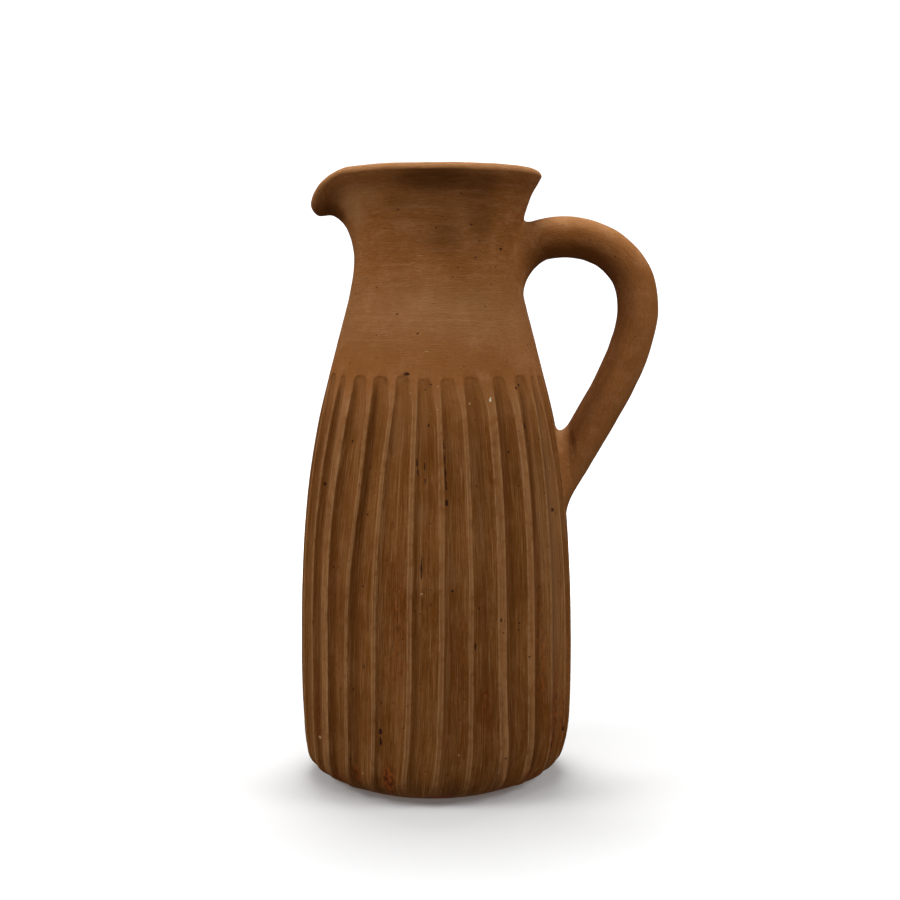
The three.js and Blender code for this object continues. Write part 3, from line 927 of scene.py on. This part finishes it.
def clay_material(name, lines, spots_dark=(), spots_pale=(), spots_white=(), streaks=0.5):
    """Unglazed fired clay.

    lines scales the grain coordinate so that the fine marks run along the gouge, or round
    the neck. The mesh layers say where the surface is cut, worn, stained or smeared, and where
    shade and highlights are painted into the colour."""
    material = bpy.data.materials.new(name)
    material.use_nodes = True
    n = Nodes(material)
    position = n.add("ShaderNodeTexCoord").outputs["Object"]
    grain = n.attribute("grain", "Vector")
    tooled = n.attribute("tooled")
    light, base, dark = (
        n.mix(n.attribute("cut"), smooth, cut) for smooth, cut in zip(SMOOTH_CLAY, CUT_CLAY)
    )

    # Broad and small mottling of the fired clay.
    cloud = n.noise(position, CLOUD_SCALE, 3, 0.55)
    patch = n.noise(position, PATCH_SCALE, 3, 0.6)
    speckle = n.noise(position, SPECKLE_SCALE, 3, 0.7)
    colour = n.mix(n.ramp(cloud, 0.32, 0.7), base, dark)
    colour = n.tint(colour, light, n.ramp(patch, 0.45, 0.75), 0.55)
    colour = n.tint(colour, dark, n.ramp(speckle, 0.45, 0.68), 0.5)

    # Streaks along the tool's or the fingers' path.
    path = n.scaled(grain, lines)
    wide_streak = n.noise(path, WIDE_STREAK, 3, 0.65, 0.6)
    fine_streak = n.noise(path, FINE_STREAK, 3, 0.7)
    hair_streak = n.noise(path, HAIR_STREAK, 2, 0.6)
    marked = n.math("MULTIPLY", tooled, streaks)
    colour = n.tint(colour, dark, n.ramp(wide_streak, 0.5, 0.72), marked)
    colour = n.tint(colour, light, n.ramp(wide_streak, 0.5, 0.3), marked)
    colour = n.tint(colour, dark, n.ramp(fine_streak, 0.52, 0.64), marked)
    pale_line = n.math("MULTIPLY", n.ramp(fine_streak, 0.45, 0.35), marked)
    colour = n.tint(colour, DUST_AND_HIGHLIGHT, pale_line, 0.6)
    dark_line = n.math("MULTIPLY", n.ramp(hair_streak, 0.55, 0.64), marked)
    colour = n.tint(colour, DEEP_CLAY_AND_SHADE, dark_line, 0.9)
    pale_hair = n.math("MULTIPLY", n.ramp(hair_streak, 0.43, 0.34), marked)
    colour = n.tint(colour, DUST_AND_HIGHLIGHT, pale_hair, 0.5)

    # Painted light and shade: the arrises and lands are painted paler as a highlight, patchy
    # where worn; dust and lit patches are paler; the channels' hollows, steep sides and pressed-in
    # starts are painted darker as shade.
    colour = n.tint(colour, DEEP_CLAY_AND_SHADE, n.attribute("recess_shade"), 0.14)
    # Painted shade on the channels' steep sides, broken by the streaks.
    torn = n.ramp(fine_streak, 0.35, 0.6, 0.6, 1)
    colour = n.tint(colour, DEEP_CLAY_AND_SHADE, n.math("MULTIPLY", n.attribute("steep_wall_shade"), torn), 0.85)
    # Painted shade at the channels' pressed-in tops.
    colour = n.tint(colour, DEEP_CLAY_AND_SHADE, n.attribute("pressed"), 0.4)
    # Painted highlight along the arrises and lands, patchy where worn.
    worn = n.ramp(n.noise(position, WEAR_SCALE, 2, 0.6), 0.25, 0.6, 0.3, 1)
    colour = n.tint(colour, DUST_AND_HIGHLIGHT, n.math("MULTIPLY", n.attribute("arris_highlight"), worn), 0.75)
    # Paler patches: dust, and painted light on the spout's outer left side.
    colour = n.tint(colour, DUST_AND_HIGHLIGHT, n.attribute("dust_and_sheen"), 0.35)
    # Painted highlight along the top of the rim.
    colour = n.tint(colour, DUST_AND_HIGHLIGHT, n.attribute("rim"), 0.35)
    rust = n.math("MULTIPLY", n.attribute("rust"), n.ramp(n.noise(path, 0.9, 3, 0.7), 0.3, 0.5))
    broken = n.noise(n.scaled(position, (1, 1, 0.35)), RAGGED_SCALE, 2, 0.6)
    rust_tone = n.mix(n.ramp(broken, 0.42, 0.6), RUST_DARK, RUST_PALE)
    colour = n.mix(rust, colour, rust_tone)
    facing = n.add("ShaderNodeSeparateXYZ", {0: n.add("ShaderNodeNewGeometry").outputs["Normal"]})
    # Surfaces that face up are painted paler and duller: painted light from above.
    above = n.math("MULTIPLY", n.ramp(facing.outputs["Z"], 0.1, 0.9), n.ramp(patch, 0.3, 0.6, 0.6, 1))
    colour = n.tint(colour, DUST_AND_HIGHLIGHT, above, 0.45)
    # Surfaces that face down, above the foot, are painted darker: painted shade.
    high = n.ramp(n.add("ShaderNodeSeparateXYZ", {0: position}).outputs["Z"], 0.05, 0.2)
    below = n.math("MULTIPLY", n.ramp(facing.outputs["Z"], -0.1, -0.7), high)
    colour = n.tint(colour, DEEP_CLAY_AND_SHADE, below, 0.5)
    # Painted shade on the neck, the handle and its joints, and darker clay near the foot.
    scorch_and_shade = n.math("MULTIPLY", n.attribute("scorch_and_shade"), n.ramp(wide_streak, 0.25, 0.6, 0.6, 1))
    colour = n.tint(colour, DEEP_CLAY_AND_SHADE, scorch_and_shade, 0.8)
    smear = n.math("MULTIPLY", n.attribute("smear"), n.ramp(patch, 0.35, 0.65))
    colour = n.tint(colour, DUST_AND_HIGHLIGHT, smear, 0.3)

    # Grains of grog and small burnt pits, then the larger marks one by one.
    cells = n.add("ShaderNodeTexVoronoi", {"Vector": position, "Scale": PIT_SCALE})
    pick = n.add("ShaderNodeSeparateColor", {0: cells.outputs["Color"]}).outputs
    off = cells.outputs["Distance"]
    pit = n.math("MULTIPLY", n.ramp(off, 0.24, 0.1), n.ramp(pick[0], 0.93, 0.97))
    grit = n.math("MULTIPLY", n.ramp(off, 0.26, 0.12), n.ramp(pick[1], 0.975, 0.985))
    ragged_noise = n.add(
        "ShaderNodeTexNoise", {"Vector": position, "Scale": RAGGED_SCALE, "Detail": 2.0}
    ).outputs["Color"]
    centred = n.add(
        "ShaderNodeVectorMath", {0: ragged_noise, 1: (0.5, 0.5, 0.5)}, operation="SUBTRACT"
    ).outputs[0]
    shift = n.scaled(centred, (RAGGED_BY, RAGGED_BY, RAGGED_BY))
    ragged = n.add("ShaderNodeVectorMath", {0: position, 1: shift}, operation="ADD").outputs[0]
    dark_spot = n.math("MAXIMUM", n.spots(ragged, spots_dark), n.math("MULTIPLY", pit, 0.6))
    pale_spot = n.math("MAXIMUM", n.spots(ragged, spots_pale), n.math("MULTIPLY", grit, 0.16))
    colour = n.tint(colour, SCORCH, dark_spot, 0.85)
    colour = n.tint(colour, CRUMB, pale_spot, 0.7)
    colour = n.mix(n.spots(ragged, spots_white), colour, LIME)

    # Relief: sand, drag lines and pits.
    sand = n.noise(position, SAND_SCALE, 3, 0.7)
    relief = n.math("ADD", n.math("MULTIPLY", sand, 0.3), n.math("MULTIPLY", fine_streak, -1.2))
    relief = n.math("ADD", relief, n.math("MULTIPLY", hair_streak, -0.6))
    relief = n.math("ADD", relief, n.math("MULTIPLY", patch, 0.5))
    relief = n.math("ADD", relief, n.math("MULTIPLY", dark_spot, -1.6))
    bump = n.add("ShaderNodeBump", {"Strength": 0.7, "Distance": RELIEF_DEPTH, "Height": relief})
    rough = n.ramp(speckle, 0.3, 0.7, 0.78, 0.94)
    shader = n.add(
        "ShaderNodeBsdfPrincipled",
        {
            "Base Color": colour, "Roughness": rough,
            "Normal": bump.outputs[0], "Specular IOR Level": 0.08,
        },
    )
    n.add("ShaderNodeOutputMaterial", {0: shader.outputs[0]})
    return material


def dress(piece, material, node):
    piece.data.materials.append(material)
    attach(piece, "root")
    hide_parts(node)


FLUTE_LINES = (1, 1, 0.022)
NECK_LINES = (0.06, 0.06, 1)
HANDLE_LINES = (0.6, 0.6, 0.16)

fluted_clay = clay_material(
    "fluted_clay", FLUTE_LINES, marks(DARK_MARKS), marks(PALE_MARKS), marks(WHITE_MARKS), 0.65
)
thrown_clay = clay_material(
    "thrown_clay", NECK_LINES, marks(NECK_DARK_MARKS), marks(NECK_PALE_MARKS), (), 0.38
)
rolled_clay = clay_material("rolled_clay", HANDLE_LINES, streaks=0.18)
pressed_clay = clay_material("pressed_clay", (0.4, 0.4, 0.4), streaks=0.2)

dress(build_floor(), thrown_clay, "floor_disc")
dress(build_body(), fluted_clay, "fluted_body")
dress(build_neck(), thrown_clay, "neck_with_spout")
dress(build_handle(), rolled_clay, "handle")
dress(build_upper_joint(), pressed_clay, "upper_joint_clay")
dress(build_lower_joint(), pressed_clay, "lower_joint_clay")


# ---- Floor, lights and camera ----
# The white floor glows with distance from the pitcher, in metres, so that the shadow round
# the foot stays and the rest is clear white.
GLOW_NEAR = 0.1
GLOW_FAR = 0.7
GLOW_DIM = 0.07
GLOW_FULL = 1.05


def white_material():
    material = bpy.data.materials.new("studio_white")
    material.use_nodes = True
    n = Nodes(material)
    position = n.add("ShaderNodeTexCoord").outputs["Object"]
    length = n.add("ShaderNodeVectorMath", {0: position}, operation="LENGTH").outputs["Value"]
    away = n.ramp(length, GLOW_NEAR, GLOW_FAR, GLOW_DIM, GLOW_FULL)
    diffuse = n.add("ShaderNodeBsdfDiffuse", {"Color": (0.8, 0.8, 0.8, 1)})
    glow = n.add("ShaderNodeEmission", {"Color": (1, 1, 1, 1), "Strength": away})
    both = n.add("ShaderNodeAddShader", {0: diffuse.outputs[0], 1: glow.outputs[0]})
    n.add("ShaderNodeOutputMaterial", {0: both.outputs[0]})
    return material


def build_stage():
    """A white floor that curves up into a wall behind the pitcher."""
    back, bend, height, half = 1.6, 0.8, 3.0, 5.0
    profile = [(-3.0, 0.0), (back, 0.0)]
    for step in range(1, 13):
        a = math.radians(90 * step / 12)
        profile.append((back + bend * math.sin(a), bend * (1 - math.cos(a))))
    profile.append((back + bend, height))
    verts = [(x, y, z) for y, z in profile for x in (-half, half)]
    faces = [(2 * i, 2 * i + 1, 2 * i + 3, 2 * i + 2) for i in range(len(profile) - 1)]
    mesh = bpy.data.meshes.new("studio_floor")
    mesh.from_pydata(verts, [], faces)
    mesh.polygons.foreach_set("use_smooth", [True] * len(faces))
    stage = bpy.data.objects.new("studio_floor", mesh)
    bpy.context.scene.collection.objects.link(stage)
    stage.data.materials.append(white_material())
    stage.visible_diffuse = False
    stage.visible_glossy = False


def soft_light(name, place_at, aim, size, power):
    lamp = bpy.data.lights.new(name, "AREA")
    lamp.shape = "DISK"
    lamp.size = size
    lamp.energy = power
    made = bpy.data.objects.new(name, lamp)
    made.location = place_at
    made.visible_camera = False
    made.rotation_euler = (Vector(aim) - Vector(place_at)).to_track_quat("-Z", "Y").to_euler()
    bpy.context.scene.collection.objects.link(made)


# Each light's name, place and width in metres and power in watts.
LIGHTS = [
    ("overhead", (-0.1, -0.3, 1.25), 0.9, 3.8),
    ("left", (-1.0, -0.35, 0.8), 0.6, 6.2),
    ("right", (1.0, -0.35, 0.8), 0.6, 5.5),
    ("behind", (0, 0.33, 1.2), 0.6, 11),
    ("low", (-0.03, -0.55, 0.07), 0.3, 0.4),
]
WORLD_STRENGTH = 0.17


def build_lights():
    middle = (0, 0, 0.14)
    for name, place_at, size, power in LIGHTS:
        soft_light(name, place_at, middle, size, power)
    world = bpy.data.worlds.new("room")
    world.use_nodes = True
    background = world.node_tree.nodes["Background"]
    background.inputs["Color"].default_value = (1, 1, 1, 1)
    background.inputs["Strength"].default_value = WORLD_STRENGTH
    bpy.context.scene.world = world


CAMERA_DISTANCE = 0.7
CAMERA_HEIGHT = 0.2148
CAMERA_TILT = 5.16
CAMERA_YAW = 0.51
CAMERA_LENS = 60.65


def build_camera():
    data = bpy.data.cameras.new("camera")
    data.sensor_width = 36
    data.lens = CAMERA_LENS
    data.clip_start = 0.01
    camera = bpy.data.objects.new("camera", data)
    camera.location = (0, -CAMERA_DISTANCE, CAMERA_HEIGHT)
    camera.rotation_euler = (math.radians(90 - CAMERA_TILT), 0, math.radians(-CAMERA_YAW))
    bpy.context.scene.collection.objects.link(camera)
    bpy.context.scene.camera = camera


build_stage()
build_lights()
build_camera()
bpy.context.scene.view_settings.view_transform = "Standard"
